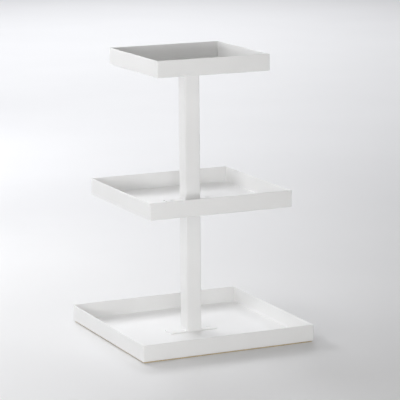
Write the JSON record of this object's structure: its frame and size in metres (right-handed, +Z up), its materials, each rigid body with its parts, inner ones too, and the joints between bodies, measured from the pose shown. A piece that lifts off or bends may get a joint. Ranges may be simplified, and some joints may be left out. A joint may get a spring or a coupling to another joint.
{
  "type": "tiered cake stand",
  "caption": "Square trays with low walls, stacked in tiers on a square central column, in white coated sheet steel, standing on thin cork-rubber strips.",
  "frame": {"origin": "on the table, under the centre of the stand", "axes": "+Z up along the column; the trays' sides run along X and Y; the straps at the column's ends lie along X; -Y is the front"},
  "size_m": [0.291, 0.291, 0.4519],
  "materials": {
    "tray_coat": "semi-gloss white powder coat",
    "column_coat": "semi-gloss white powder coat",
    "fastener_coat": "semi-gloss white coat over steel",
    "zinc_steel": "bright zinc plating",
    "cork_rubber": "matte cork bound with rubber"
  },
  "bodies": {
    "root": {"bottom_tray": "tray_coat", "middle_tray": "tray_coat", "top_tray": "tray_coat", "lower_tube": "column_coat", "upper_tube": "column_coat", "lower_foot_strap": "column_coat", "lower_head_strap": "column_coat", "upper_foot_strap": "column_coat", "upper_head_strap": "column_coat", "bottom_rivets": "fastener_coat", "middle_screws": "fastener_coat", "top_screws": "fastener_coat", "middle_nuts": "zinc_steel", "top_nuts": "zinc_steel", "front_strip": "cork_rubber", "back_strip": "cork_rubber", "left_strip": "cork_rubber", "right_strip": "cork_rubber"}
  },
  "joints": []
}
